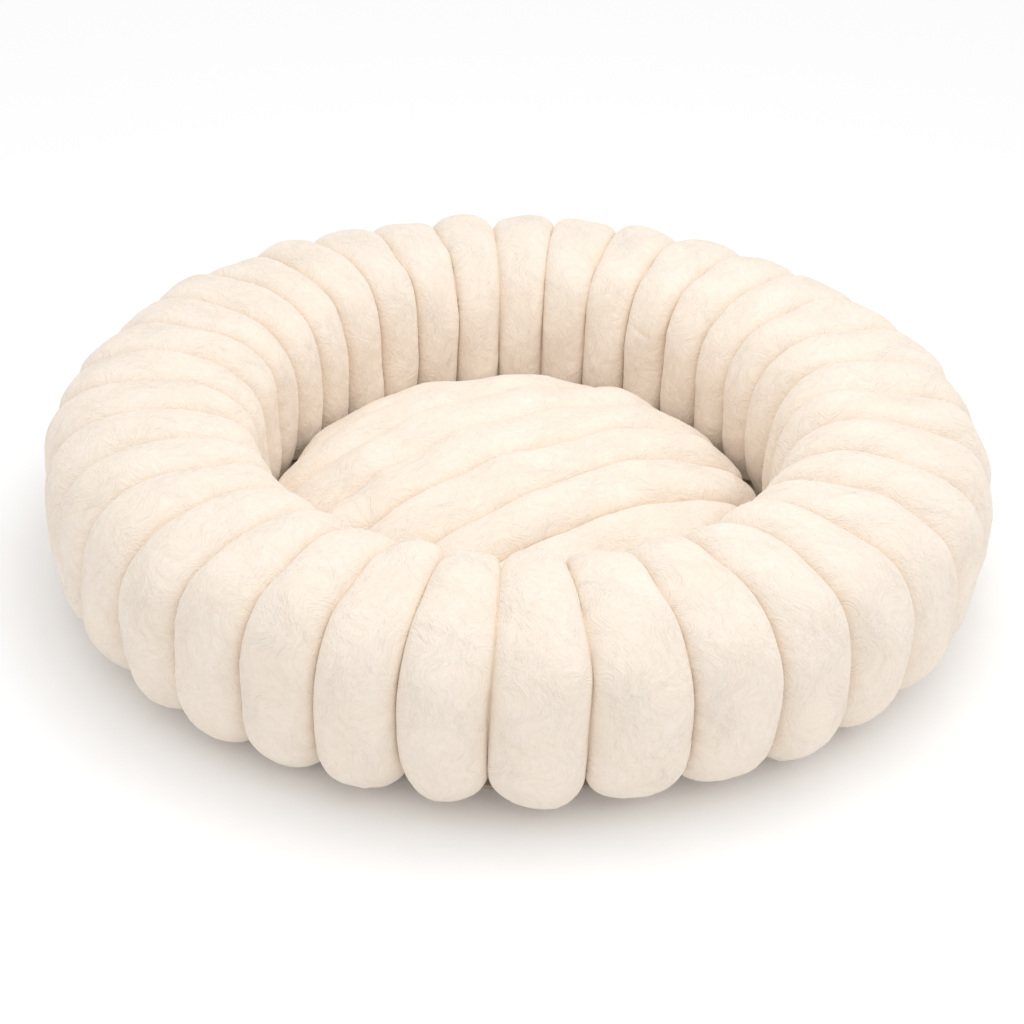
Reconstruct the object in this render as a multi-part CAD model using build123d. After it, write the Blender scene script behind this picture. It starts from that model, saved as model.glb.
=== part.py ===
from build123d import *
import math
import os

# Round pet bed: a ring bolster of stuffed plush channels sewn to a cloth base, and a loose
# channelled cushion that drops into the well and has a zip in its side.
# Millimetres, +Z up. The origin is on the floor under the middle of the bed, +Y is the back.

# driving dimensions
overall_radius = 400.0
overall_height = 167.0
well_radius = 218.0            # narrowest radius inside the ring
channel_count = 36
cushion_crown = 118.0          # height of the cushion's middle above the floor

# base stack, each layer standing on the one below
dot_radius, dot_height, dot_pitch, dot_field = 5.0, 0.8, 96.0, 300.0
panel_radius, panel_thick = 330.0, 1.0
binding_width = 6.0
pad_radius, pad_thick = 250.0, 3.0
lining_thick = 0.8
panel_bottom = dot_height
panel_top = panel_bottom + panel_thick
pad_top = panel_top + pad_thick
lining_top = pad_top + lining_thick

# ring bolster: a fat, rounded square turned round the middle
ring_gap = 0.1                 # clear of the base panel
ring_bottom = panel_top + ring_gap
ring_mid_z = (overall_height + ring_bottom) / 2
ring_half_height = (overall_height - ring_bottom) / 2
ring_centre = (overall_radius + well_radius) / 2
ring_half_width = (overall_radius - well_radius) / 2
ring_corner_x, ring_corner_z = 76.0, 69.0       # corners before rounding, from its middle
ring_round = 44.0
plush_thick = 4.0              # backing cloth and its flattened pile
valley_depth = 12.0
valley_degrees = 1.1
fill_gap_degrees = 1.9
fill_round = 9.0

# seams are not quite evenly spaced: the channels are a little wider on one side
seam_phase = -2.5
seam_drift = 3.1

# cushion
cushion_radius = 214.0
cushion_band_radius = 210.0    # upright band that carries the zip
cushion_bottom = lining_top + 0.4
cushion_arcs = [(500.0, 14.0), (180.0, 31.0)]   # radius and turn, from the middle outwards
under_thick = 1.5
channel_direction = 34.0       # degrees from +X, running front left to back right
cushion_seams = [-176.0, -122.0, -70.0, -17.0, 37.0, 94.0, 150.0]
cushion_valley_depth = 9.0
cushion_valley_width = 4.5
cushion_fill_gap = 9.0

# thread that closes each seam, lying in the valley
thread_thick = 0.8
thread_rise = 6.0              # of the cushion's threads above its shoulder
thread_lift = 2.0              # above the bottom of the valley

# zip in the back of the cushion's band
zip_half_angle = 56.0
zip_z = 20.0
tape_thick, tape_height = 0.8, 8.0
coil_thick, coil_height = 1.2, 1.4
zip_parting = 0.3              # half the gap between the two coils
slider_clear = 0.35
slider_plate = 0.8
slider_angle = -50.0           # where the slider rests, from +Y, clockwise from above
slider_width, slider_height = 8.0, 6.4
bridge_reach, bridge_height, bridge_bar = 1.9, 4.4, 1.0
puller_length, puller_width, puller_thick = 9.0, 4.6, 0.8
pin_radius = 0.4
pin_clear = 0.05


def place_round(shape, angle):
    """Turn a shape made at +X to a clockwise angle measured from +Y."""
    return Rot(0, 0, 90 - angle) * shape


def ring_outline():
    """Outline of the bolster in the XZ plane: four bulging sides with rounded corners."""
    corners = [(-1, 1), (1, 1), (1, -1), (-1, -1)]
    bulges = [(0, 1), (1, 0), (0, -1), (-1, 0)]
    points = [Vector(ring_centre + x * ring_corner_x, 0, ring_mid_z + z * ring_corner_z)
              for x, z in corners]
    middles = [Vector(ring_centre + x * ring_half_width, 0, ring_mid_z + z * ring_half_height)
               for x, z in bulges]
    face = make_face([ThreePointArc(points[i], middles[i], points[(i + 1) % 4]) for i in range(4)])
    return fillet(face.vertices(), ring_round)


def ring_face(inset):
    """The outline drawn in by a distance: each arc keeps its centre and loses that much radius."""
    arcs = []
    for arc in ring_outline().edges():
        centre, share = arc.arc_center, 1 - inset / arc.radius
        arcs.append(ThreePointArc(*[centre + (arc @ t - centre) * share for t in (0, 0.5, 1)]))
    return make_face(arcs)


def seam_angle(k):
    step = 360 / channel_count
    return step * k + seam_phase - seam_drift * math.cos(math.radians(step * k))


def ring_wedge(inset, first, last):
    """The ring's section turned from one clockwise angle to another."""
    width = last - first
    wedge = Rot(0, 0, -width / 2) * revolve(ring_face(inset), axis=Axis.Z, revolution_arc=width)
    return place_round(wedge, (first + last) / 2)


def ring_fill(k):
    """Stuffing of one channel, its ends rounded towards the seams."""
    gap = fill_gap_degrees / 2
    wedge = ring_wedge(plush_thick, seam_angle(k) + gap, seam_angle(k + 1) - gap)
    return fillet(wedge.faces().filter_by(GeomType.PLANE).edges(), fill_round)


def make_ring_cover():
    """One plush tube with a valley at every seam and a closed chamber in every channel."""
    tools = []
    groove = ring_face(-3) - ring_face(valley_depth)
    half = valley_degrees / 2
    for k in range(channel_count):
        valley = Rot(0, 0, -half) * revolve(groove, axis=Axis.Z, revolution_arc=valley_degrees)
        tools.append(place_round(valley, seam_angle(k)))
        tools.append(ring_wedge(plush_thick, seam_angle(k) + fill_gap_degrees / 2,
                                seam_angle(k + 1) - fill_gap_degrees / 2))
    return revolve(ring_face(0), axis=Axis.Z).cut(*tools)


def make_ring_thread():
    inset = valley_depth - thread_lift
    loop = ring_face(inset) - ring_face(inset + thread_thick)
    loop = extrude(loop, thread_thick / 2, dir=(0, 1, 0), both=True)
    return Compound(children=[place_round(loop, seam_angle(k)) for k in range(channel_count)])


def round_plate(radius, bottom, top, hole=0.0):
    plate = Pos(0, 0, bottom) * extrude(Circle(radius), top - bottom)
    if hole:
        plate -= Pos(0, 0, bottom) * extrude(Circle(hole), top - bottom)
    return plate


def make_grip_dots():
    """Dots on a triangular grid under the base panel."""
    dots = []
    rows = int(dot_field / dot_pitch) + 1
    for i in range(-2 * rows, 2 * rows + 1):
        for j in range(-2 * rows, 2 * rows + 1):
            x = dot_pitch * (i + j / 2)
            y = dot_pitch * j * math.sqrt(3) / 2
            if math.hypot(x, y) <= dot_field:
                dots.append(Pos(x, y, 0) * extrude(Circle(dot_radius), dot_height))
    return Compound(children=dots)


def make_label():
    """Blank folded label caught in the binding at the back."""
    label_length, label_width, label_thick = 15.0, 18.0, 0.5
    start = panel_radius + binding_width + 0.2
    tab = Box(label_length, label_width, label_thick, align=(Align.MIN, Align.CENTER, Align.MIN))
    return place_round(Pos(start, 0, panel_bottom + 0.1) * tab, 8)


def cushion_dome(inset, bottom):
    """Crowned body of the cushion: tangent arcs from the middle to the rim, turned round Z."""
    turned, x, z = 0.0, 0.0, cushion_crown
    for radius, turn in cushion_arcs:
        start, turned = math.radians(turned), turned + turn
        end = math.radians(turned)
        x += radius * (math.sin(end) - math.sin(start))
        z -= radius * (math.cos(start) - math.cos(end))
    end = math.radians(turned)
    rim_round = (cushion_radius - x) / (1 - math.sin(end))
    pieces, at, heading = [], Vector(0, 0, cushion_crown - inset), 0.0
    for radius, turn in cushion_arcs + [(rim_round, 90 - turned)]:
        radius -= inset
        first, last = math.radians(heading), math.radians(heading + turn)
        middle = (first + last) / 2
        stops = [at + Vector(radius * (math.sin(a) - math.sin(first)), 0,
                             radius * (math.cos(a) - math.cos(first))) for a in (middle, last)]
        pieces.append(ThreePointArc(at, *stops))
        at, heading = stops[1], heading + turn
    edge = Polyline((at.X, 0, at.Z), (at.X, 0, bottom), (0, 0, bottom), (0, 0, cushion_crown - inset))
    return revolve(make_face(pieces + list(edge.edges())), axis=Axis.Z), at.Z


def slab(low, high):
    """Upright slab between two offsets across the channel direction."""
    tall, wide = 400.0, 900.0
    box = Box(wide, high - low, tall, align=(Align.CENTER, Align.MIN, Align.CENTER))
    return Rot(0, 0, channel_direction) * (Pos(0, low, 0) * box)


def above(shape, z):
    return shape & Pos(0, 0, z + 200) * Box(900, 900, 400)


def below(shape, z):
    return shape & Pos(0, 0, z - 200) * Box(900, 900, 400)


def cushion_body(inset, bottom):
    """The dome down to its shoulder, standing on the upright band that carries the zip."""
    shoulder = cushion_dome(0, 0)[1] + inset
    upper = above(cushion_dome(inset, 0)[0], shoulder)
    return upper + round_plate(cushion_band_radius - inset, bottom, shoulder)


def make_cushion():
    """Stuffing of every channel, and the plush top and plain under cover sewn round them."""
    limits = [-300.0] + cushion_seams + [300.0]
    half_gap = cushion_fill_gap / 2
    inner = cushion_body(plush_thick, cushion_bottom + under_thick)
    fills = [inner & slab(low + half_gap, high - half_gap) for low, high in zip(limits, limits[1:])]
    skin = cushion_dome(-3, 0)[0] - cushion_dome(cushion_valley_depth, 0)[0]
    skin = above(skin, cushion_dome(0, 0)[1])
    half_valley = cushion_valley_width / 2
    valleys = [skin & slab(w - half_valley, w + half_valley) for w in cushion_seams]
    cover = cushion_body(0, cushion_bottom).cut(*fills, *valleys)
    top_cover = above(cover, zip_z + zip_parting)
    under_cover = below(cover, zip_z - zip_parting)
    return Compound(children=fills), top_cover, under_cover


def make_cushion_thread():
    """A line of thread along each valley of the cushion's top."""
    inset = cushion_valley_depth - thread_lift
    skin = cushion_dome(inset, 0)[0] - cushion_dome(inset + thread_thick, 0)[0]
    skin = above(skin, cushion_dome(0, 0)[1] + thread_rise)
    lines = [skin & slab(w - thread_thick / 2, w + thread_thick / 2) for w in cushion_seams]
    return Compound(children=[s for line in lines for s in line.solids()])


def zip_band(inner, outer, low, high, half_angle=zip_half_angle):
    """Strip that follows the cushion's band round the back."""
    section = Pos((inner + outer) / 2, 0, (low + high) / 2) * Rot(90, 0, 0)
    section *= Rectangle(outer - inner, high - low)
    strip = revolve(section, axis=Axis.Z, revolution_arc=2 * half_angle)
    return place_round(Rot(0, 0, -half_angle) * strip, 0)


tape_face = cushion_band_radius + tape_thick
coil_face = tape_face + coil_thick


def make_zip():
    parts = {}
    top, bottom = zip_z + zip_parting, zip_z - zip_parting
    parts["zip_tape_upper"] = zip_band(cushion_band_radius, tape_face, top, top + tape_height)
    parts["zip_tape_lower"] = zip_band(cushion_band_radius, tape_face, bottom - tape_height, bottom)
    parts["zip_coil_upper"] = zip_band(tape_face, coil_face, top, top + coil_height)
    parts["zip_coil_lower"] = zip_band(tape_face, coil_face, bottom - coil_height, bottom)
    stop = Box(1.6, 1.6, 5.0, align=(Align.MIN, Align.CENTER, Align.CENTER))
    stop = Pos(tape_face, 0, zip_z) * stop
    end = zip_half_angle + 0.5
    stop = stop & zip_keeper(tape_face)
    parts["zip_stops"] = Compound(children=[place_round(stop, a) for a in (-end, end)])
    return parts


def zip_keeper(inner):
    """Everything from a radius outwards, so that a flat block sits on a round band."""
    return round_plate(cushion_radius + 10, 0, 60, hole=inner)


def make_slider():
    """Plate over the coils with a flange above and below them, and a bridge for the puller's pin."""
    plate_low = coil_face + slider_clear
    plate = Pos(plate_low, 0, zip_z) * Box(slider_plate, slider_width, slider_height,
                                           align=(Align.MIN, Align.CENTER, Align.CENTER))
    flange_low = tape_face + slider_clear
    flange_z = zip_parting + coil_height + slider_clear
    flange = Box(plate_low - flange_low + 0.2, slider_width, slider_height / 2 - flange_z,
                 align=(Align.MIN, Align.CENTER, Align.MIN))
    body = plate + Pos(flange_low, 0, zip_z + flange_z) * flange
    body += Pos(flange_low, 0, zip_z - slider_height / 2) * flange
    bridge = Box(bridge_reach, bridge_bar, bridge_height, align=(Align.MIN, Align.CENTER, Align.CENTER))
    pin_hole = Rot(90, 0, 0) * Cylinder(pin_radius + pin_clear, 20)
    bridge = Pos(plate_low + slider_plate, 0, zip_z) * bridge
    bridge -= Pos(pin_x(), 0, zip_z) * pin_hole
    return place_round(body + bridge, slider_angle)


def pin_x():
    return coil_face + slider_clear + slider_plate + 1.1


def make_puller():
    """Flat tongue with two cheeks that carry a pin through the slider's bridge; it hangs down."""
    cheek_gap = bridge_bar + 0.6
    cheek = (puller_width - cheek_gap) / 2
    tongue = Box(puller_thick, puller_width, puller_length - 3,
                 align=(Align.CENTER, Align.CENTER, Align.MAX))
    tongue = fillet(tongue.edges().filter_by(Axis.X).group_by(Axis.Z)[0], 1.6)
    tongue -= Pos(0, 0, -4) * (Rot(0, 90, 0) * Cylinder(1.0, 4))
    tongue = Pos(0, 0, -3.0) * tongue
    for side in (-1, 1):
        leg = Box(puller_thick, cheek, 3.8, align=(Align.CENTER, Align.CENTER, Align.MAX))
        tongue += Pos(0, side * (cheek_gap + cheek) / 2, 0.5) * leg
    tongue += Rot(90, 0, 0) * Cylinder(pin_radius, cheek_gap + 0.4)
    return place_round(Pos(pin_x(), 0, zip_z) * tongue, slider_angle)


def main():
    os.makedirs("parts", exist_ok=True)
    nodes = {}
    nodes["bolster_cover"] = make_ring_cover()
    for k in range(channel_count):
        nodes[f"bolster_fill_{k + 1:02d}"] = ring_fill(k)
    nodes["bolster_seam_thread"] = make_ring_thread()
    nodes["grip_dots"] = make_grip_dots()
    nodes["base_panel"] = round_plate(panel_radius, panel_bottom, panel_top)
    nodes["base_binding"] = round_plate(panel_radius + binding_width, panel_bottom, panel_top,
                                        hole=panel_radius)
    nodes["base_felt"] = round_plate(pad_radius, panel_top, pad_top)
    nodes["well_floor_cloth"] = round_plate(pad_radius, pad_top, lining_top)
    nodes["care_label"] = make_label()
    fill, nodes["cushion_top_cover"], nodes["cushion_under_cover"] = make_cushion()
    nodes["cushion_fill"] = fill
    nodes["cushion_seam_thread"] = make_cushion_thread()
    nodes.update(make_zip())
    nodes["zip_slider"] = make_slider()
    nodes["zip_puller"] = make_puller()
    for name, shape in nodes.items():
        export_step(shape, f"parts/{name}.step")
    axis = math.radians(slider_angle)
    print("puller pin", pin_x() * math.sin(axis), pin_x() * math.cos(axis), zip_z)
    print("puller axis", math.cos(axis), -math.sin(axis), 0)


main()
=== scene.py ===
import math

import bpy
import numpy as np
from mathutils import Matrix, Vector


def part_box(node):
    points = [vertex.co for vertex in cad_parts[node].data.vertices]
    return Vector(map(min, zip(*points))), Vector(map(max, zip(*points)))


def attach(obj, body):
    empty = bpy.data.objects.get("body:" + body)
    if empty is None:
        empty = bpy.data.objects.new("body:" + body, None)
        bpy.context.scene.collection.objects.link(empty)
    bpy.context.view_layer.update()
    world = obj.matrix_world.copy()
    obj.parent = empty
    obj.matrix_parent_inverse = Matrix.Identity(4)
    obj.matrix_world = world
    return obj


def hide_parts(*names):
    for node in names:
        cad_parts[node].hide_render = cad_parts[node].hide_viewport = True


# Round pet bed: thirty-six puffed plush channels sewn in a ring, with a domed channelled cushion in the well.
# Everything is in metres, +Z up, +Y towards the back.

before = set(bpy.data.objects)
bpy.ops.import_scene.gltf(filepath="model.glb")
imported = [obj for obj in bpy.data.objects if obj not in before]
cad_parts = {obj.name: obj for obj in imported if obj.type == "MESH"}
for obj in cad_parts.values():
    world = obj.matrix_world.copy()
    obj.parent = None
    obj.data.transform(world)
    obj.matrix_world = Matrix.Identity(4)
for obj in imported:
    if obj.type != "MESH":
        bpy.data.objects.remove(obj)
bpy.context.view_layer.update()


# Low and high corners of a node's box, as arrays.
def bodyBox(node):
    low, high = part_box(node)
    return np.array(low), np.array(high)


ringLow, ringHigh = bodyBox("bolster_cover")
outerRadius = float(ringHigh[0] - ringLow[0]) / 2


# A socket that can be added, subtracted and multiplied; numbers alone stay in Python.
class Wire:
    def __init__(self, tree, socket):
        self.tree, self.socket = tree, socket

    def math(self, operation, first, second=None, clamp=False):
        values = {0: first} if second is None else {0: first, 1: second}
        return node(self.tree, "ShaderNodeMath", values, operation=operation, use_clamp=clamp)

    def __add__(self, other):
        return self.math("ADD", self, other)

    def __radd__(self, other):
        return self.math("ADD", other, self)

    def __sub__(self, other):
        return self.math("SUBTRACT", self, other)

    def __rsub__(self, other):
        return self.math("SUBTRACT", other, self)

    def __mul__(self, other):
        return self.math("MULTIPLY", self, other)

    def __rmul__(self, other):
        return self.math("MULTIPLY", other, self)

    def clamped(self):
        return self.math("ADD", self, 0.0, clamp=True)


# Adds a node: its settings first, then the value or link of each socket. Returns one output.
def node(tree, kind, values=None, out=0, stops=None, **settings):
    made = tree.nodes.new(kind)
    for name, value in settings.items():
        setattr(made, name, value)
    if stops:
        ramp = made.color_ramp
        while len(ramp.elements) < len(stops):
            ramp.elements.new(1.0)
        for element, (place, colour) in zip(ramp.elements, stops):
            element.position = place
            element.color = colour
    for name, value in (values or {}).items():
        socket = made.inputs[name]
        if isinstance(value, Wire):
            tree.links.new(value.socket, socket)
        else:
            socket.default_value = value
    return Wire(tree, made.outputs[out])


# A Principled material with its constant sockets set; returns the material, its tree and its shader.
def newMaterial(name, **sockets):
    material = bpy.data.materials.new(name)
    material.use_nodes = True
    tree = material.node_tree
    shader = next(n for n in tree.nodes if n.type == "BSDF_PRINCIPLED")
    for socket, value in sockets.items():
        shader.inputs[socket.replace("_", " ")].default_value = value
    return material, tree, shader


# Links a varying colour and a bump to a shader.
def wireUp(tree, shader, colour, bump):
    tree.links.new(colour.socket, shader.inputs["Base Color"])
    tree.links.new(bump.socket, shader.inputs["Normal"])


# Blend of two colours: the first at factor 0, the second at factor 1.
def mixColours(tree, factor, first, second):
    return node(tree, "ShaderNodeMix", {0: factor, 6: first, 7: second}, out=2, data_type="RGBA")


# Vector Math node on two vectors.
def vec(tree, operation, first, second):
    return node(tree, "ShaderNodeVectorMath", {0: first, 1: second}, operation=operation)


# Smooth noise: the sum of sine waves with random directions, each about one size long; spread about 1.
def waveNoise(points, size, seed, waves=14):
    rng = np.random.default_rng(seed)
    ways = rng.normal(size=(waves, points.shape[-1]))
    ways /= np.linalg.norm(ways, axis=1, keepdims=True)
    ways *= (2 * math.pi / size) * rng.uniform(0.6, 1.4, (waves, 1))
    phases = rng.uniform(0, 2 * math.pi, waves)
    return np.sin(points @ ways.T + phases).sum(-1) / math.sqrt(waves / 2)


# Unit normals of a grid of points, from the cross product of its two central differences.
def gridNormals(points, wrapRows, wrapColumns):
    def slope(axis, wrap):
        if wrap:
            return np.roll(points, -1, axis) - np.roll(points, 1, axis)
        return np.gradient(points, axis=axis)
    across = np.cross(slope(0, wrapRows), slope(1, wrapColumns))
    return across / np.maximum(np.linalg.norm(across, axis=-1, keepdims=True), 1e-12)


# Makes a mesh object from point and face arrays. uvs, one per point, are in metres along the surface.
def meshObject(name, points, faces, uvs=None, smooth=True):
    mesh = bpy.data.meshes.new(name)
    mesh.from_pydata(points.reshape(-1, 3).tolist(), [], faces)
    if uvs is not None:
        loops = np.zeros(len(mesh.loops), np.int32)
        mesh.loops.foreach_get("vertex_index", loops)
        layer = mesh.uv_layers.new(name="cloth")
        layer.data.foreach_set("uv", uvs.reshape(-1, 2)[loops].astype(np.float32).ravel())
    mesh.shade_smooth() if smooth else mesh.shade_flat()
    mesh.update()
    made = bpy.data.objects.new(name, mesh)
    bpy.context.scene.collection.objects.link(made)
    return made


plushLook = {
    "crest": (0.905, 0.802, 0.697, 1.0),     # fibre ends
    # painted shade: a darker colour between the fibres
    "paintedShade": (0.835, 0.672, 0.510, 1.0),     # between the fibres
    "warm": (0.890, 0.757, 0.620, 1.0),      # broad warmer patches
    "coarse": (0.0028, 0.0075), "fine": (0.0010, 0.0042),    # width and length of the streaks
    "coarseShare": 0.55,                     # of the height; the fine streaks have the rest
    "darkest": 0.36, "spread": 3.6,          # height where the fibres start, and how sharply they rise
    "patchScale": 20.0, "contrast": 0.50, "relief": 0.0016,
}


# Short pile: streaked noise along the combed coordinates, folded into fibres, as colour and as bump; the colour
# is darkened between the fibres as painted shade.
def makePlush(name, look):
    material, tree, shader = newMaterial(name, Roughness=0.92, Specular_IOR_Level=0.1,
                                         Sheen_Weight=0.3, Sheen_Roughness=0.6,
                                         Sheen_Tint=(1.0, 0.95, 0.88, 1.0))
    nap = node(tree, "ShaderNodeUVMap", uv_map="cloth")

    def streaks(size, detail):
        stretched = vec(tree, "MULTIPLY", nap, (1 / size[0], 1 / size[1], 1 / size[0]))
        return node(tree, "ShaderNodeTexNoise", {"Vector": stretched, "Scale": 1.0, "Detail": detail,
                                                 "Roughness": 0.55})

    coarse, fine = streaks(look["coarse"], 2.0), streaks(look["fine"], 1.0)
    patches = node(tree, "ShaderNodeTexNoise", {"Vector": nap, "Scale": look["patchScale"], "Detail": 2.0})
    height = coarse * look["coarseShare"] + fine * (1 - look["coarseShare"])
    fibres = ((height - look["darkest"]) * look["spread"]).clamped()
    colour = mixColours(tree, ((patches - 0.35) * 2.2).clamped(), look["crest"], look["warm"])
    # Painted shade: the colour darkens between the fibres, where the height is low.
    colour = mixColours(tree, (1 - fibres) * look["contrast"], colour, look["paintedShade"])
    bump = node(tree, "ShaderNodeBump", {"Strength": 1.0, "Distance": look["relief"], "Height": height})
    wireUp(tree, shader, colour, bump)
    return material


plush = makePlush("plush", plushLook)


napLook = {
    "swirl": 0.055, "reach": 0.0046,               # how far the combing wanders, and over what distance
    "kink": 0.011, "kinkReach": 0.0007,            # the same for single tufts
    "tuftWidth": 0.0034, "tuftLength": 0.0085,
    "finerWidth": 0.0020, "finerLength": 0.0050,
    "height": 0.00080, "smoothest": 0.30,          # share of the height left in the smoothest patches
    "patch": 0.050, "wideShare": 0.6, "level": 0.4,
}


# Value noise: random numbers at whole steps of a and b, eased between them; from 0 to 1.
def tableNoise(a, b, seed):
    table = np.random.default_rng(seed).random((256, 256))
    i, j = np.floor(a).astype(int), np.floor(b).astype(int)
    x, y = a - i, b - j
    x, y = x * x * (3 - 2 * x), y * y * (3 - 2 * y)
    i, j, ni, nj = i % 256, j % 256, (i + 1) % 256, (j + 1) % 256
    return ((table[i, j] * (1 - x) + table[ni, j] * x) * (1 - y)
            + (table[i, nj] * (1 - x) + table[ni, nj] * x) * y)


# Surface coordinates pushed about by slow noise, so that streaks drawn along them swirl.
def combed(uvs, look):
    push = np.stack([waveNoise(uvs, look["swirl"], 71), waveNoise(uvs, look["swirl"], 72)], -1)
    kinks = np.stack([waveNoise(uvs, look["kink"], 76, 30), waveNoise(uvs, look["kink"], 77, 30)], -1)
    return uvs + look["reach"] * push + look["kinkReach"] * kinks


# Height of the lying tufts: noise stretched along the nap and folded, so that tufts are round and the lines
# between them sharp; stronger in some patches than in others.
def napRelief(nap, uvs, look):
    a, b = nap[..., 0], nap[..., 1]
    wide = tableNoise(a / look["tuftWidth"], b / look["tuftLength"], 73)
    fine = tableNoise(a / look["finerWidth"], b / look["finerLength"], 74)
    folded = np.abs(2 * wide - 1) * look["wideShare"] + np.abs(2 * fine - 1) * (1 - look["wideShare"])
    patch = np.clip(0.5 + 0.4 * waveNoise(uvs, look["patch"], 75), 0, 1)
    return look["height"] * (folded - look["level"]) * (look["smoothest"] + (1 - look["smoothest"]) * patch)


ringChannels = {
    "count": 36, "phase": -2.5, "drift": 3.1,      # degrees: seams are not quite evenly spaced
    "centre": 0.758 * outerRadius,                 # radius of the section's middle
    "outerHalf": 0.2395 * outerRadius, "innerHalf": 0.213 * outerRadius,
    "middle": 0.0852, "halfHeight": 0.0805,
    "topPower": 2.6, "bottomPower": 3.0, "innerFootPower": 4.5,
    "puffPower": 2.8, "puffPowerUnder": 2.1,
    "creases": [(15, 0.115, 0.35, 0.030), (15, 0.135, 0.45, 0.024), (16, 0.105, 0.40, 0.028),
                (16, 0.122, 0.62, 0.020), (16, 0.140, 0.50, 0.024), (3, 0.40, 0.5, 0.022),
                (27, 0.13, 0.5, 0.024), (8, 0.20, 0.5, 0.026), (31, 0.24, 0.4, 0.024)],
    # each: channel, distance round the section, place across, length
    "creaseDepth": 0.0011, "creaseWidth": 0.0022,
    "backRise": 0.016,                             # the back stands a little higher than the front
    "crease": 81.0,                                # degrees of the rounded profile used: less opens the valley
    "depthTop": 0.013, "depthOuter": 0.021, "depthInner": 0.016, "depthUnder": 0.025,
    "around": 320, "across": 49,
    "lump": 0.0014, "lumpSize": 0.075, "dimple": 0.00016, "dimpleSize": 0.018,
    "nudges": {15: -0.5, 17: 1.0, 18: 1.7, 19: 1.3, 20: 0.9, 21: 0.4},     # seams sewn a little out of step
    "wobble": 0.10,                                # degrees that a seam wanders
    "gap": 0.0002, "clothStep": 0.31,              # each channel is cut from the next stretch of the cloth
}


# Clockwise angle of a seam from the back, in degrees: even steps with one slow wave round the ring.
def seamAngle(k, look):
    step = 360 / look["count"]
    return (step * k + look["phase"] - look["drift"] * math.cos(math.radians(step * k))
            + look["nudges"].get(k, 0.0))


# Power of a number's size, with its sign put back.
def signedPower(value, power):
    return np.sign(value) * np.abs(value) ** power


# Radius and height round the bolster's section: a superellipse, fuller outside and squarer below.
def ringSection(turn, look):
    c, s = np.cos(turn), np.sin(turn)
    foot = np.where(c >= 0, look["bottomPower"], look["innerFootPower"])
    power = 2 / np.where(s >= 0, look["topPower"], foot)
    half = np.where(c >= 0, look["outerHalf"], look["innerHalf"])
    return (look["centre"] + half * signedPower(c, power),
            look["middle"] + look["halfHeight"] * signedPower(s, power))


# Angles that space the section's points evenly along its length, starting underneath.
def evenTurns(count, look):
    fine = np.linspace(-math.pi / 2, 1.5 * math.pi, 4001)
    r, z = ringSection(fine, look)
    run = np.concatenate([[0], np.cumsum(np.hypot(np.diff(r), np.diff(z)))])
    stops = np.linspace(0, run[-1], count, endpoint=False)
    return np.interp(stops, run, fine), stops


# Place across a channel and how far it has sunk there: a superellipse cut off just before it is upright, so
# that two neighbours meet in an open crease.
def roundedSide(across, power):
    x = signedPower(np.sin(across), 2 / power)
    sink = 1 - np.cos(across) ** (2 / power)
    return x / np.abs(x).max(-1, keepdims=True), sink / sink.max(-1, keepdims=True)


# The bolster's section as even points: turn, radius, height, run, outward direction, valley depth.
def ringLine(look):
    turn, run = evenTurns(look["around"], look)
    r, z = ringSection(turn, look)
    dr, dz = np.roll(r, -1) - np.roll(r, 1), np.roll(z, -1) - np.roll(z, 1)
    size = np.hypot(dr, dz)
    c, s = np.cos(turn), np.sin(turn)
    depth = (np.clip(s, 0, 1) ** 2 * look["depthTop"] + np.clip(-s, 0, 1) ** 2 * look["depthUnder"]
             + c ** 2 * np.where(c > 0, look["depthOuter"], look["depthInner"]))
    return turn, r, z, run, dz / size, -dr / size, depth


# Angle of a seam at each point round the section, in degrees, with a slight wander.
def seamLine(k, turn, look):
    turns, n = divmod(k, look["count"])
    places = np.stack([np.full_like(turn, n * 1.7), np.cos(turn), np.sin(turn)], -1)
    return seamAngle(n, look) + 360 * turns + look["wobble"] * waveNoise(places, 1.6, 40 + n, 6)


# One channel: the section carried across it, pulled in towards both seams along a rounded profile.
def makeChannel(k, look):
    turn, r, z, run, normalR, normalZ, depth = ringLine(look)
    under = np.clip(-np.sin(turn), 0, 1)[:, None]
    power = look["puffPower"] + (look["puffPowerUnder"] - look["puffPower"]) * under
    across = np.radians(np.linspace(-look["crease"], look["crease"], look["across"]))
    x, sink = roundedSide(across[None], power)
    first, last = seamLine(k, turn, look), seamLine(k + 1, turn, look)
    slack = np.degrees(look["gap"] / 2 / r)
    first, last = first + slack, last - slack
    angle = np.radians(first[:, None] + (last - first)[:, None] * (x + 1) / 2)
    radius = r[:, None] - normalR[:, None] * sink * depth[:, None]
    height = z[:, None] - normalZ[:, None] * sink * depth[:, None]
    points = np.stack([radius * np.sin(angle), radius * np.cos(angle), height], -1)
    points[..., 2] *= 1 + look["backRise"] * np.cos(angle)
    normals = gridNormals(points, True, False)
    fat = look["lump"] * waveNoise(points, look["lumpSize"], 5)
    fat = fat + look["dimple"] * waveNoise(points, look["dimpleSize"], 6, 24)
    width = radius.mean(1, keepdims=True) * np.radians((last - first)[:, None])
    uvs = np.stack([(x + 1) / 2 * width + k * look["clothStep"],
                    np.broadcast_to(run[:, None], angle.shape)], -1)
    nap = combed(uvs, napLook)
    fat = fat + napRelief(nap, uvs, napLook)
    for channel, place, middle, length in look["creases"]:
        if channel == k:
            slant = (uvs[..., 0] - k * look["clothStep"] - middle * width) * 0.35
            down = (uvs[..., 1] - place - slant) / look["creaseWidth"]
            over = (uvs[..., 0] - k * look["clothStep"] - middle * width) / (length / 2)
            fat = fat - look["creaseDepth"] * np.exp(-down ** 2 - over ** 4)
    edge = np.cos(across * 90 / look["crease"])[None] ** 0.5
    points = points + normals * (fat * edge)[..., None]
    return points, nap


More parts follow.
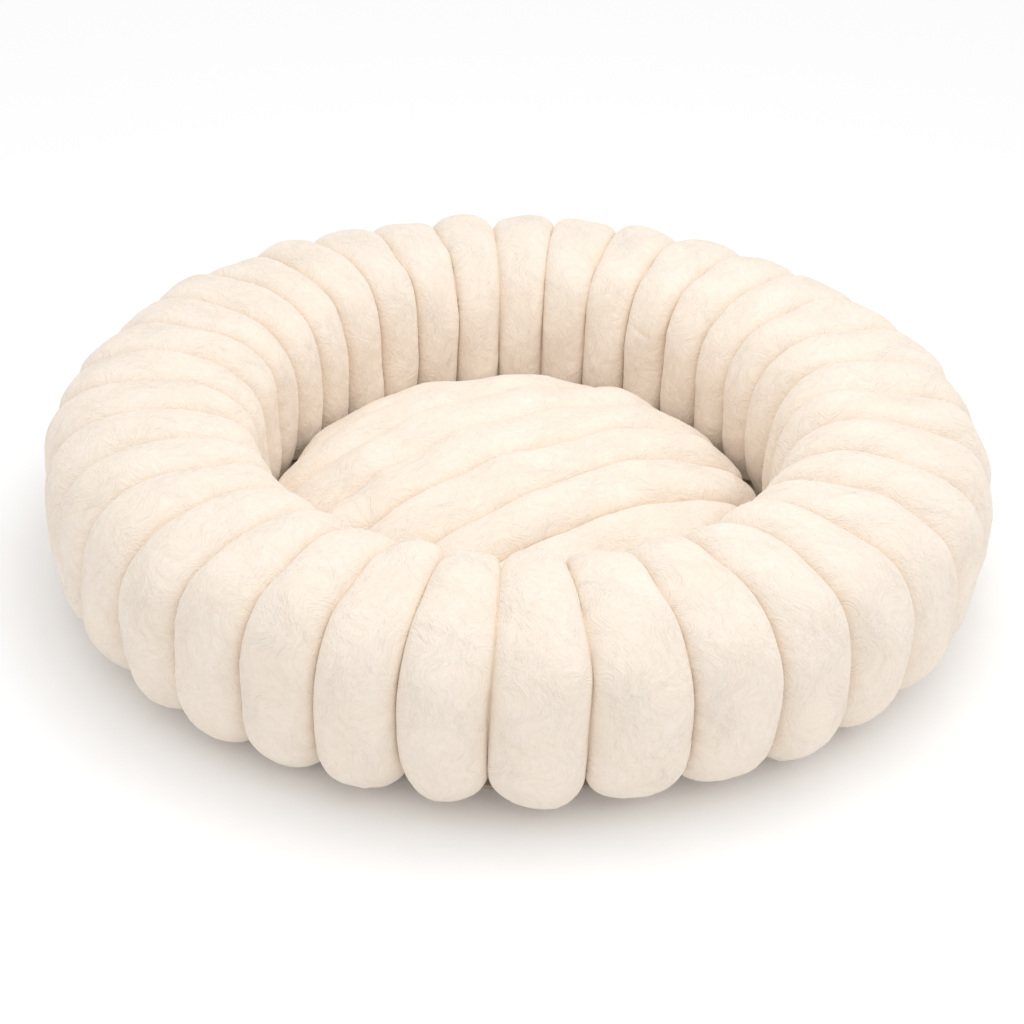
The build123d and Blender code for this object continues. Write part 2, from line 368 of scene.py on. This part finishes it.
# Quads of a grid whose rows close on themselves, in the order that turns them outwards.
def tubeFaces(rows, columns):
    i = np.arange(rows)[:, None]
    j = np.arange(columns - 1)[None]
    nextRow = (i + 1) % rows
    quads = np.stack([i * columns + j, nextRow * columns + j, nextRow * columns + j + 1,
                      i * columns + j + 1], -1).reshape(-1, 4)
    return quads.tolist()


# All channels of the ring, each closed at its two seams by a fan of triangles round the section's middle.
def makeRing(look):
    pieces = []
    rows, columns = look["around"], look["across"]
    for k in range(look["count"]):
        points, uvs = makeChannel(k, look)
        flat = points.reshape(-1, 3)
        middles = np.stack([points[:, 0].mean(0), points[:, -1].mean(0)])
        verts = np.concatenate([flat, middles])
        faces = tubeFaces(rows, columns)
        i = np.arange(rows)
        n, middle = (i + 1) % rows, rows * columns
        ends = np.stack([np.full(rows, middle), n * columns, i * columns, np.full(rows, middle + 1),
                         i * columns + columns - 1, n * columns + columns - 1], -1).reshape(-1, 3).tolist()
        allUvs = np.concatenate([uvs.reshape(-1, 2), uvs.reshape(-1, 2)[:2]])
        piece = meshObject(f"ringChannel{k + 1:02d}", verts, faces + ends, allUvs)
        piece.data.materials.append(plush)
        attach(piece, "root")
        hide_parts(f"bolster_fill_{k + 1:02d}", "bolster_cover", "bolster_seam_thread")
        pieces.append(piece)
    return pieces


ring = makeRing(ringChannels)
print("ring channels", len(ring))

seamStitches = {
    "radius": 0.0007, "sides": 6, "pitch": 0.0032, "waist": 0.45, "lift": 0.0006,
    "colour": (0.83, 0.70, 0.55, 1.0), "wornAndPlyShade": (0.74, 0.60, 0.45, 1.0),
}


# Sewing thread: fine diagonal ply lines along it, as colour and bump; the colour darkens in the grooves between
# the plies as painted shade, and in random patches.
def makeThread(name, look):
    material, tree, shader = newMaterial(name, Roughness=0.6, Specular_IOR_Level=0.3, Sheen_Weight=0.2)
    place = node(tree, "ShaderNodeTexCoord", out=3)
    ply = node(tree, "ShaderNodeTexWave", {"Vector": place, "Scale": 700.0, "Distortion": 1.0}, out=1,
               bands_direction="DIAGONAL")
    drift = node(tree, "ShaderNodeTexNoise", {"Vector": place, "Scale": 60.0, "Detail": 2.0})
    # Painted shade in the ply grooves, where the bump is low, mixed with random darker patches.
    tone = mixColours(tree, (ply * 0.5 + drift * 0.5).clamped(), look["wornAndPlyShade"], look["colour"])
    bump = node(tree, "ShaderNodeBump", {"Strength": 0.5, "Distance": 0.0002, "Height": ply})
    wireUp(tree, shader, tone, bump)
    return material


threadCotton = makeThread("seamThread", seamStitches)


# Tube round a line of points; its radius dips between stitches. up is the surface's outward direction.
def stitchTube(centre, up, run, look, wrap):
    ahead = np.roll(centre, -1, 0) - np.roll(centre, 1, 0) if wrap else np.gradient(centre, axis=0)
    ahead = ahead / np.linalg.norm(ahead, axis=1, keepdims=True)
    side = np.cross(ahead, up)
    side /= np.linalg.norm(side, axis=1, keepdims=True)
    lift = np.cross(side, ahead)
    turn = np.linspace(0, 2 * math.pi, look["sides"], endpoint=False)
    swell = np.abs(np.sin(math.pi * run / look["pitch"])) ** 0.5
    size = look["radius"] * (look["waist"] + (1 - look["waist"]) * swell)
    loop = side[:, None] * np.cos(turn)[None, :, None] - lift[:, None] * np.sin(turn)[None, :, None]
    return centre[:, None] + loop * size[:, None, None]


# Quads of a tube, closed round itself and, when wrap is set, end to end.
def loopFaces(rows, columns, start, wrap=True):
    i = np.arange(rows if wrap else rows - 1)[:, None]
    j = np.arange(columns)[None]
    ni, nj = (i + 1) % rows, (j + 1) % columns
    quads = np.stack([i * columns + j, i * columns + nj, ni * columns + nj, ni * columns + j], -1)
    return (quads.reshape(-1, 4) + start).tolist()


# Triangles that close a tube's two ends on the two middle points that follow its grid.
def poleFans(rows, columns):
    first, last, end = np.arange(columns), (rows - 1) * columns + np.arange(columns), rows * columns
    fans = np.stack([np.full(columns, end), np.roll(first, -1), first], -1).tolist()
    return fans + np.stack([np.full(columns, end + 1), last, np.roll(last, -1)], -1).tolist()


# One stitched tube in the bottom of each seam's valley, raised by the lift.
def makeRingStitches(ringLook, look):
    verts, faces = [], []
    turn, r, z, run, normalR, normalZ, depth = ringLine(ringLook)
    for k in range(ringLook["count"]):
        angle = np.radians(seamLine(k, turn, ringLook))
        sunk = depth - look["lift"]
        radius, height = r - normalR * sunk, z - normalZ * sunk
        height = height * (1 + ringLook["backRise"] * np.cos(angle))
        centre = np.stack([radius * np.sin(angle), radius * np.cos(angle), height], -1)
        up = np.stack([normalR * np.sin(angle), normalR * np.cos(angle), normalZ], -1)
        tube = stitchTube(centre, up, run, look, True)
        faces += loopFaces(len(centre), look["sides"], len(verts) * len(centre) * look["sides"])
        verts.append(tube.reshape(-1, 3))
    stitches = meshObject("ringStitches", np.concatenate(verts), faces)
    stitches.data.materials.append(threadCotton)
    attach(stitches, "root")
    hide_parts("bolster_seam_thread")
    return stitches


makeRingStitches(ringChannels, seamStitches)


cushionShape = {
    "crown": 0.1155, "rim": 0.2160, "band": 0.2098, "ledge": 0.0310, "parting": 0.0205,
    "arcs": [(0.500, 14.0), (0.180, 31.0)],        # radius and turn, from the middle outwards
    "direction": 34.0,                             # degrees from +X
    "seams": [-0.176, -0.122, -0.070, -0.017, 0.037, 0.094, 0.150],
    "puffPower": 2.4, "crease": 80.0, "depth": 0.0125, "edgeDepth": 0.0155,
    "along": 230, "across": 41,
    "lump": 0.0014, "lumpSize": 0.070, "dimple": 0.00016, "dimpleSize": 0.018,
    "wander": 0.0022,                              # how far a seam strays from straight
    "gap": 0.0002, "tipInset": 0.000002,           # the outermost channels stop just short of the rim
    "clothStep": 0.29,
}


# Radius, height and steepness of the crowned top, as tangent arcs from the middle to the rim.
def domeLine(look):
    arcs = list(look["arcs"])
    turned = sum(turn for _, turn in arcs)
    reach, heading = 0.0, 0.0
    for radius, turn in arcs:
        reach += radius * (math.sin(math.radians(heading + turn)) - math.sin(math.radians(heading)))
        heading += turn
    arcs.append(((look["rim"] - reach) / (1 - math.sin(math.radians(turned))), 90 - turned))
    r, z, slope, heading = [0.0], [look["crown"]], [0.0], 0.0
    for radius, turn in arcs:
        begin = math.radians(heading)
        steps = np.radians(heading + np.linspace(0, turn, 200)[1:])
        r += list(r[-1] + radius * (np.sin(steps) - math.sin(begin)))
        z += list(z[-1] - radius * (math.cos(begin) - np.cos(steps)))
        slope += list(steps)
        heading += turn
    return np.array(r), np.array(z), np.array(slope)


# A seam's distance from the cushion's middle line, wandering slightly as it goes.
def seamOffset(along, offset, look):
    places = np.stack([along, np.full_like(along, offset * 3)], -1)
    return offset + look["wander"] * waveNoise(places, 0.2, 12, 8)


# Points of the domed top at distances across and along the channels, pushed in by sink along the normal.
def cushionPoint(side, along, sink, look):
    domeR, domeZ, domeSlope = domeLine(look)
    r = np.minimum(np.hypot(side, along), look["rim"])
    z, slope = np.interp(r, domeR, domeZ), np.interp(r, domeR, domeSlope)
    out = np.stack([along, side], -1) / np.maximum(np.hypot(side, along), 1e-9)[..., None]
    edge = np.clip(slope / (math.pi / 2), 0, 1) ** 2
    sink = sink * (look["depth"] + (look["edgeDepth"] - look["depth"]) * edge)
    radius = r - np.sin(slope) * sink
    height = z - np.cos(slope) * sink
    way = math.radians(look["direction"])
    x = radius * (out[..., 0] * math.cos(way) - out[..., 1] * math.sin(way))
    y = radius * (out[..., 0] * math.sin(way) + out[..., 1] * math.cos(way))
    return np.stack([x, y, height], -1)


# One channel from rim to rim; its ends bunch their points where the rim turns down.
def makeCushionChannel(number, low, high, look):
    t = np.sin(np.linspace(-math.pi / 2, math.pi / 2, look["along"]))
    across = np.radians(np.linspace(-look["crease"], look["crease"], look["across"]))
    x, sink = roundedSide(across[None], look["puffPower"])
    atRim = [abs(edge) >= look["rim"] for edge in (low, high)]         # the outermost channels end at the rim
    sink = np.where(atRim[0] & (x < 0) | atRim[1] & (x > 0), 0, sink)
    tip = look["rim"] - look["tipInset"]
    low, high = max(low, -tip), min(high, tip)
    reach = np.sqrt(look["rim"] ** 2 - np.minimum(abs(low), abs(high)) ** 2) if low * high > 0 else look["rim"]
    lowLine, highLine = [edge + (0 if out else 1) * (seamOffset(t * reach, edge, look) - edge)
                         for edge, out in ((low, atRim[0]), (high, atRim[1]))]
    lowLine, highLine = lowLine + look["gap"] / 2, highLine - look["gap"] / 2
    side = lowLine[:, None] + (highLine - lowLine)[:, None] * (x + 1) / 2
    along = t[:, None] * np.sqrt(np.maximum(look["rim"] ** 2 - side ** 2, 0))
    points = cushionPoint(side, along, sink, look)
    normals = gridNormals(points, False, False)
    uvs = np.stack([side + number * look["clothStep"], along], -1)
    nap = combed(uvs, napLook)
    fat = look["lump"] * waveNoise(points, look["lumpSize"], 15)
    fat = fat + look["dimple"] * waveNoise(points, look["dimpleSize"], 16, 24) + napRelief(nap, uvs, napLook)
    edge = np.cos(across * 90 / look["crease"])[None] ** 0.5 * np.clip((1 - np.abs(t)) * 60, 0, 1)[:, None]
    return points + normals * (fat * edge)[..., None], nap


# Each channel is its crowned top, an upright wall down from its outline, and a flat underside.
def makeCushion(look):
    pieces = []
    limits = [-0.3] + look["seams"] + [0.3]
    rows, columns = look["along"], look["across"]
    for number, (low, high) in enumerate(zip(limits, limits[1:])):
        points, nap = makeCushionChannel(number, low, high, look)
        index = np.arange(rows * columns).reshape(rows, columns)
        outline = np.concatenate([index[:-1, 0], index[-1, :-1], index[:0:-1, -1], index[0, :0:-1]])
        foot = points.reshape(-1, 3)[outline].copy()
        shrink = np.minimum(1, look["band"] / np.maximum(np.hypot(foot[:, 0], foot[:, 1]), 1e-6))
        foot[:, :2] *= shrink[:, None]
        ledge = foot.copy()
        ledge[:, 2] = np.minimum(ledge[:, 2], look["ledge"])
        foot[:, 2] = look["parting"]
        top = np.stack([index[:-1, :-1], index[:-1, 1:], index[1:, 1:], index[1:, :-1]], -1).reshape(-1, 4)
        m = rows * columns + np.arange(len(outline))
        n = m + len(outline)
        wall = np.concatenate([np.stack([a, np.roll(a, -1), np.roll(b, -1), b], -1)
                               for a, b in ((outline, m), (m, n))])
        signed = np.cross(points[1:, :-1] - points[:-1, :-1], points[:-1, 1:] - points[:-1, :-1])[..., 2].mean()
        if signed > 0:                                                 # top faces up, walls and foot to match
            top, wall, n = top[:, ::-1], wall[:, ::-1], n[::-1]
        faces = top.tolist() + wall.tolist() + [n.tolist()]
        flat = nap.reshape(-1, 2)
        verts = np.concatenate([points.reshape(-1, 3), ledge, foot])
        piece = meshObject(f"cushionChannel{number + 1}", verts, faces,
                           np.concatenate([flat, flat[outline], flat[outline]]))
        piece.data.materials.append(plush)
        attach(piece, "cushion")
        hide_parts("cushion_top_cover", "cushion_fill", "cushion_seam_thread")
        pieces.append(piece)
    return pieces


cushionPieces = makeCushion(cushionShape)
print("cushion channels", len(cushionPieces))


# Plain weave: crossed sine waves one thread wide, with a little colour drift; the colour darkens in the weave's
# low parts as painted shade.
def makeWeave(name, colour, paintedShade, thread, roughness):
    material, tree, shader = newMaterial(name, Roughness=roughness, Specular_IOR_Level=0.2,
                                         Sheen_Weight=0.15)
    place = node(tree, "ShaderNodeTexCoord", out=3)
    parts = [node(tree, "ShaderNodeTexWave", {"Vector": place, "Scale": 0.5 / thread, "Distortion": 0.6,
                                              "Detail": 1.0}, out=1, bands_direction=axis)
             for axis in ("X", "Y")]
    weave = parts[0] * 0.5 + parts[1] * 0.5
    drift = node(tree, "ShaderNodeTexNoise", {"Vector": place, "Scale": 40.0, "Detail": 3.0})
    # Painted shade where the weave is low, mixed with random colour drift.
    tone = mixColours(tree, (weave * 0.6 + drift * 0.4).clamped(), paintedShade, colour)
    bump = node(tree, "ShaderNodeBump", {"Strength": 0.6, "Distance": thread * 0.4, "Height": weave})
    wireUp(tree, shader, tone, bump)
    return material


# Needled wadding: matted fibres at two sizes, as colour and bump; the colour darkens in the matting's hollows as
# painted shade, mixed with random clouds.
def makeFelt(name, colour, paintedShade):
    material, tree, shader = newMaterial(name, Roughness=0.95, Specular_IOR_Level=0.1, Sheen_Weight=0.3)
    place = node(tree, "ShaderNodeTexCoord", out=3)
    matted = node(tree, "ShaderNodeTexNoise", {"Vector": place, "Scale": 500.0, "Detail": 4.0,
                                               "Roughness": 0.7, "Distortion": 1.5})
    clouds = node(tree, "ShaderNodeTexNoise", {"Vector": place, "Scale": 30.0, "Detail": 2.0})
    # Painted shade in the matting's hollows, where the bump is low, mixed with random clouds.
    tone = mixColours(tree, (matted * 0.6 + clouds * 0.4).clamped(), paintedShade, colour)
    bump = node(tree, "ShaderNodeBump", {"Strength": 0.7, "Distance": 0.0006, "Height": matted})
    wireUp(tree, shader, tone, bump)
    return material


baseCloth = makeWeave("baseCloth", (0.70, 0.61, 0.49, 1), (0.54, 0.46, 0.36, 1), 0.0009, 0.85)
liningCloth = makeWeave("liningCloth", (0.84, 0.76, 0.65, 1), (0.72, 0.63, 0.51, 1), 0.0006, 0.8)
bindingTape = makeWeave("bindingTape", (0.62, 0.53, 0.42, 1), (0.46, 0.38, 0.29, 1), 0.0008, 0.8)
wadding = makeFelt("wadding", (0.86, 0.82, 0.76, 1), (0.74, 0.69, 0.61, 1))

clothDiscs = {
    "ripple": 0.00035, "rippleSize": 0.055, "pucker": 0.0006, "puckers": 96, "puckerReach": 0.022,
    "rings": 36, "spokes": 256, "poleRadius": 0.002,
    "bindingLap": 0.006, "bindingProud": 0.0004,   # tape over the panel's edge, and how far it stands out
}


# Flat cloth turned round Z: a rounded-off slab from inner to outer radius. Ripples move both faces together,
# and puckers, waves round the edge, fade out within their reach of it.
def clothDisc(name, inner, outer, low, high, look, pucker=0.0):
    half = (high - low) / 2
    flat = np.linspace(max(inner, look["poleRadius"]), outer - half, look["rings"])
    bend = np.linspace(-math.pi / 2, math.pi / 2, 9)[1:-1]
    edgeR, edgeZ = outer - half + half * np.cos(bend), half * np.sin(bend)
    r = np.concatenate([flat, edgeR, flat[::-1]])
    z = np.concatenate([np.full_like(flat, -half), edgeZ, np.full_like(flat, half)])
    if inner > 0:
        r = np.concatenate([r, inner - half * np.cos(bend) * 0.8])
        z = np.concatenate([z, -edgeZ])
    turn = np.linspace(0, 2 * math.pi, look["spokes"], endpoint=False)
    x, y = r[:, None] * np.cos(turn), r[:, None] * np.sin(turn)
    near = np.exp(-((outer - r) / look["puckerReach"]) ** 2)[:, None]
    wave = look["ripple"] * waveNoise(np.stack([x, y], -1), look["rippleSize"], 31)
    wave = wave + pucker * near * np.sin(look["puckers"] * turn + 1.5 * np.sin(5 * turn))[None]
    height = np.broadcast_to(z[:, None], x.shape) + (low + high) / 2 + wave
    points = np.stack([x, y, np.clip(height, low * 0.5, high + half)], -1)
    rows, columns = r.size, turn.size
    verts, faces = points.reshape(-1, 3), loopFaces(rows, columns, 0, wrap=inner > 0)
    if inner == 0:
        verts = np.concatenate([verts, [points[0].mean(0), points[-1].mean(0)]])
        faces += poleFans(rows, columns)
    return meshObject(name, verts, faces)


# Gives a piece its material, body and the nodes that it replaces.
def dress(piece, material, slotName, *nodes, body="root"):
    piece.data.materials.append(material)
    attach(piece, body)
    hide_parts(*nodes)
    return piece


# Bottom, top and outer radius of a round node.
def nodeHeights(name):
    low, high = bodyBox(name)
    return float(low[2]), float(high[2]), float(high[0])


# Layers of the base and the well's floor, each a disc as wide and as thick as its node.
def makeBase(look):
    low, high, edge = nodeHeights("base_panel")
    panel = clothDisc("basePanel", 0, edge, low, high, look, look["pucker"] * 0.4)
    dress(panel, baseCloth, "base_cloth", "base_panel")
    outerEdge = nodeHeights("base_binding")[2]
    binding = clothDisc("baseBinding", edge - look["bindingLap"], outerEdge,
                        low - look["bindingProud"], high + look["bindingProud"], look)
    dress(binding, bindingTape, "binding", "base_binding")
    low, high, edge = nodeHeights("base_felt")
    felt = clothDisc("baseFelt", 0, edge, low, high, look)
    dress(felt, wadding, "wadding", "base_felt")
    low, high, edge = nodeHeights("well_floor_cloth")
    floorCloth = clothDisc("wellFloorCloth", 0, edge, low, high + 0.0002, look, look["pucker"] * 0.5)
    dress(floorCloth, liningCloth, "lining", "well_floor_cloth")


makeBase(clothDiscs)

underCover = {"rings": 40, "spokes": 300, "hem": 0.007, "ripple": 0.0005, "rippleSize": 0.06,
              "puckers": 130, "pucker": 0.0006, "puckerReach": 0.010, "puckerRise": 0.006}


# Plain cover below the zip: upright band, rounded hem and a flat base, turned round Z, with small gathers
# where the band meets the base.
def makeUnderCover(look):
    low, high, edge = nodeHeights("cushion_under_cover")
    hem = look["hem"]
    bend = np.linspace(0, math.pi / 2, 10)
    r = np.concatenate([np.linspace(0, edge - hem, look["rings"])[1:], edge - hem + hem * np.sin(bend)[1:],
                        np.full(6, edge), np.linspace(edge, 0, look["rings"])[1:-1]])
    z = np.concatenate([np.full(look["rings"] - 1, low), low + hem * (1 - np.cos(bend))[1:],
                        np.linspace(low + hem, high, 7)[1:], np.full(look["rings"] - 2, high)])
    turn = np.linspace(0, 2 * math.pi, look["spokes"], endpoint=False)
    away, above = (edge - hem * 0.5 - r) / look["puckerReach"], (z - low) / look["puckerRise"]
    near = np.exp(-away ** 2 - above ** 2)[:, None]
    gather = look["pucker"] * near * np.sin(look["puckers"] * turn + 2 * np.sin(3 * turn))[None]
    radius = r[:, None] + gather
    x, y = radius * np.cos(turn), radius * np.sin(turn)
    ripple = look["ripple"] * (1 + waveNoise(np.stack([x, y], -1), look["rippleSize"], 33)) / 2
    height = z[:, None] + np.clip(ripple, 0, 1) * (z < low + 0.001)[:, None]
    points = np.stack([x, y, height], -1)
    rows, columns = r.size, turn.size
    verts = np.concatenate([points.reshape(-1, 3), [points[0].mean(0), points[-1].mean(0)]])
    faces = loopFaces(rows, columns, 0, wrap=False) + poleFans(rows, columns)
    cover = meshObject("cushionUnderCover", verts, faces)
    dress(cover, liningCloth, "lining", "cushion_under_cover", body="cushion")


makeUnderCover(underCover)

labelTab = {"points": 30, "lift": 0.0002, "curl": 0.0006, "thick": 0.00045}


# Blank folded tab: a thin strip that waves slightly along its length.
def makeLabel(look):
    low, high = bodyBox("care_label")
    along = np.linspace(0, 1, look["points"])
    x = low[0] + (high[0] - low[0]) * along
    wave = low[2] + look["lift"] + look["curl"] * np.sin(math.pi * along)
    edge = np.array([[low[1], 0], [high[1], 0], [high[1], look["thick"]], [low[1], look["thick"]]])
    points = np.stack([np.broadcast_to(x[:, None], (x.size, 4)), np.broadcast_to(edge[:, 0], (x.size, 4)),
                       wave[:, None] + edge[:, 1]], -1)
    faces = loopFaces(x.size, 4, 0, wrap=False)
    n = (x.size - 1) * 4
    faces += [[3, 2, 1, 0], [n, n + 1, n + 2, n + 3]]
    label = meshObject("careLabel", points, faces, smooth=False)
    dress(label, liningCloth, "label", "care_label")


makeLabel(labelTab)
print("base and covers made")


# Moulded or enamelled surface with a faint grain in its roughness and colour.
def makeSmooth(name, colour, roughness, grain):
    material, tree, shader = newMaterial(name)
    place = node(tree, "ShaderNodeTexCoord", out=3)
    specks = node(tree, "ShaderNodeTexNoise", {"Vector": place, "Scale": grain, "Detail": 3.0})
    darker = tuple(c * 0.88 for c in colour[:3]) + (1,)
    tree.links.new(mixColours(tree, specks, darker, colour).socket, shader.inputs["Base Color"])
    tree.links.new((specks * 0.2 + (roughness - 0.1)).socket, shader.inputs["Roughness"])
    return material


gripRubber = makeSmooth("gripRubber", (0.80, 0.74, 0.64, 1), 0.6, 500)
coilNylon = makeSmooth("coilNylon", (0.84, 0.77, 0.66, 1), 0.45, 900)
zipEnamel = makeSmooth("zipEnamel", (0.80, 0.73, 0.62, 1), 0.32, 600)

gripDots = {"radius": 0.005, "height": 0.0008, "pitch": 0.096, "field": 0.300, "sides": 28, "collar": 0.0003}


# Low rubber buttons on a triangular grid: each a flat face with a rounded shoulder, pointing down.
def makeGripDots(look):
    reach = int(look["field"] / look["pitch"]) + 2
    i, j = np.meshgrid(np.arange(-2 * reach, 2 * reach + 1), np.arange(-2 * reach, 2 * reach + 1))
    x, y = look["pitch"] * (i + j / 2).ravel(), look["pitch"] * j.ravel() * math.sqrt(3) / 2
    inside = np.hypot(x, y) <= look["field"]
    x, y = x[inside], y[inside]
    bend = np.linspace(0, math.pi / 2, 6)
    r = np.concatenate([[look["radius"]], look["radius"] - look["height"] * (1 - np.cos(bend)), [0.0004]])
    z = np.concatenate([[look["height"] + look["collar"]], look["height"] * (1 - np.sin(bend)), [0.0]])
    turn = np.linspace(0, 2 * math.pi, look["sides"], endpoint=False)
    one = np.stack([r[:, None] * np.cos(turn), r[:, None] * np.sin(turn),
                    np.broadcast_to(z[:, None], (r.size, turn.size))], -1).reshape(-1, 3)
    places = np.stack([x, y, np.zeros_like(x)], -1)
    verts = (places[:, None] + one[None]).reshape(-1, 3)
    rows, columns, faces = r.size, turn.size, []
    for n in range(len(places)):
        start = n * len(one)
        faces += [face[::-1] for face in loopFaces(rows, columns, start, wrap=False)]
        faces += [(start + np.arange(columns)).tolist(),
                  (start + (rows - 1) * columns + np.arange(columns))[::-1].tolist()]
    dots = meshObject("gripDots", verts, faces)
    dress(dots, gripRubber, "grip_rubber", "grip_dots")


makeGripDots(gripDots)

zipCoils = {"wire": 0.00030, "pitch": 0.0015, "wide": 0.00045, "tall": 0.00050, "perTurn": 10, "sides": 6}


# Nylon coil: a wire wound as a flattened helix that follows the band round the back.
def makeCoil(nodeName, name, look):
    low, high = bodyBox(nodeName)
    height = (low[2] + high[2]) / 2
    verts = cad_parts[nodeName].data.vertices
    co = np.zeros(len(verts) * 3, np.float32)
    verts.foreach_get("co", co)
    co = co.reshape(-1, 3).astype(float)
    radii, angles = np.hypot(co[:, 0], co[:, 1]), np.arctan2(co[:, 0], co[:, 1])
    middle = (radii.min() + radii.max()) / 2
    length = (angles.max() - angles.min()) * middle
    steps = int(length / look["pitch"] * look["perTurn"])
    angle = np.linspace(angles.min(), angles.max(), steps)
    wind = np.arange(steps) * 2 * math.pi / look["perTurn"]
    radius = middle + look["wide"] * np.cos(wind) - 0.0001
    centre = np.stack([radius * np.sin(angle), radius * np.cos(angle), height + look["tall"] * np.sin(wind)], -1)
    up = np.stack([np.sin(angle), np.cos(angle), np.zeros_like(angle)], -1)
    tube = stitchTube(centre, up, np.full(steps, 0.5), {"sides": look["sides"], "radius": look["wire"],
                                                        "waist": 1.0, "pitch": 1.0}, False)
    faces = loopFaces(steps, look["sides"], 0, wrap=False)
    last = (steps - 1) * look["sides"]
    faces += [list(range(look["sides"]))[::-1], [last + n for n in range(look["sides"])]]
    coil = meshObject(name, tube, faces)
    dress(coil, coilNylon, "zip_coil", nodeName, body="cushion")


makeCoil("zip_coil_upper", "zipCoilUpper", zipCoils)
makeCoil("zip_coil_lower", "zipCoilLower", zipCoils)
for nodeName, finish in {"zip_tape_upper": bindingTape, "zip_tape_lower": bindingTape, "zip_stops": zipEnamel,
                         "zip_slider": zipEnamel, "zip_puller": zipEnamel}.items():
    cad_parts[nodeName].data.materials.clear()
    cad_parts[nodeName].data.materials.append(finish)
print("zip made")


studio = {
    "floorSize": 30.0, "floorColour": (0.990, 0.993, 0.997, 1.0),
    "sky": 0.70, "skyColour": (1.0, 0.997, 0.994, 1.0),
    "key": 0.88, "keyAngle": 70.0, "keyPlace": (0.6, -0.4, 2.4), "keyColour": (1.0, 0.998, 0.996),
    "box": 2.3, "boxSize": 0.55, "boxPlace": (0.10, -0.05, 0.95), "boxColour": (1.0, 0.998, 0.996),
}

camera = {
    "distance": 4.236 * outerRadius, "elevation": 30.77, "height": 0.15 * outerRadius,
    "focal": 1952 / 1024 * 36, "pitch": 0.75, "yaw": 0.182, "roll": 1.85,   # degrees
}


# Large pale floor, even sky, a wide soft sun and a softbox above the well.
def makeStudio(look):
    half = look["floorSize"] / 2
    low = -0.0003                                  # clear of the grip dots
    corners = np.array([[-half, -half, low], [half, -half, low], [half, half, low], [-half, half, low]])
    floor = meshObject("floor", corners, [[0, 1, 2, 3]], smooth=False)
    floorPaint, _, _ = newMaterial("floorPaint", Base_Color=look["floorColour"], Roughness=0.9,
                                   Specular_IOR_Level=0.1)
    floor.data.materials.append(floorPaint)
    world = bpy.data.worlds.new("studio")
    world.use_nodes = True
    sky = next(n for n in world.node_tree.nodes if n.type == "BACKGROUND")
    sky.inputs["Color"].default_value = look["skyColour"]
    sky.inputs["Strength"].default_value = look["sky"]
    bpy.context.scene.world = world
    lamp = bpy.data.lights.new("key", "SUN")
    lamp.energy, lamp.angle, lamp.color = look["key"], math.radians(look["keyAngle"]), look["keyColour"]
    key = bpy.data.objects.new("key", lamp)
    key.location = look["keyPlace"]
    key.rotation_euler = (-Vector(look["keyPlace"])).to_track_quat("-Z", "Y").to_euler()
    bpy.context.scene.collection.objects.link(key)
    diffuser = bpy.data.lights.new("softbox", "AREA")
    diffuser.energy, diffuser.size, diffuser.color = look["box"], look["boxSize"], look["boxColour"]
    softbox = bpy.data.objects.new("softbox", diffuser)
    softbox.location = look["boxPlace"]
    bpy.context.scene.collection.objects.link(softbox)


# Camera on the front side, looking down at the bed, with its aim turned and rolled slightly.
def makeCamera(look):
    tilt = math.radians(look["elevation"])
    place = Vector((0, -look["distance"] * math.cos(tilt), look["distance"] * math.sin(tilt) + look["height"]))
    turn = (Matrix.Rotation(math.radians(look["yaw"]), 4, "Z")
            @ Matrix.Rotation(math.radians(90 - look["elevation"] - look["pitch"]), 4, "X")
            @ Matrix.Rotation(math.radians(look["roll"]), 4, "Z"))
    lens = bpy.data.cameras.new("camera")
    lens.lens, lens.sensor_width, lens.clip_end = look["focal"], 36, 100
    made = bpy.data.objects.new("camera", lens)
    made.matrix_world = Matrix.Translation(place) @ turn
    bpy.context.scene.collection.objects.link(made)
    bpy.context.scene.camera = made


makeStudio(studio)
makeCamera(camera)
bpy.context.scene.view_settings.view_transform = "Standard"
bpy.context.scene.view_settings.gamma = 1.25          # soft, low contrast, as under large diffusers
print("studio ready")
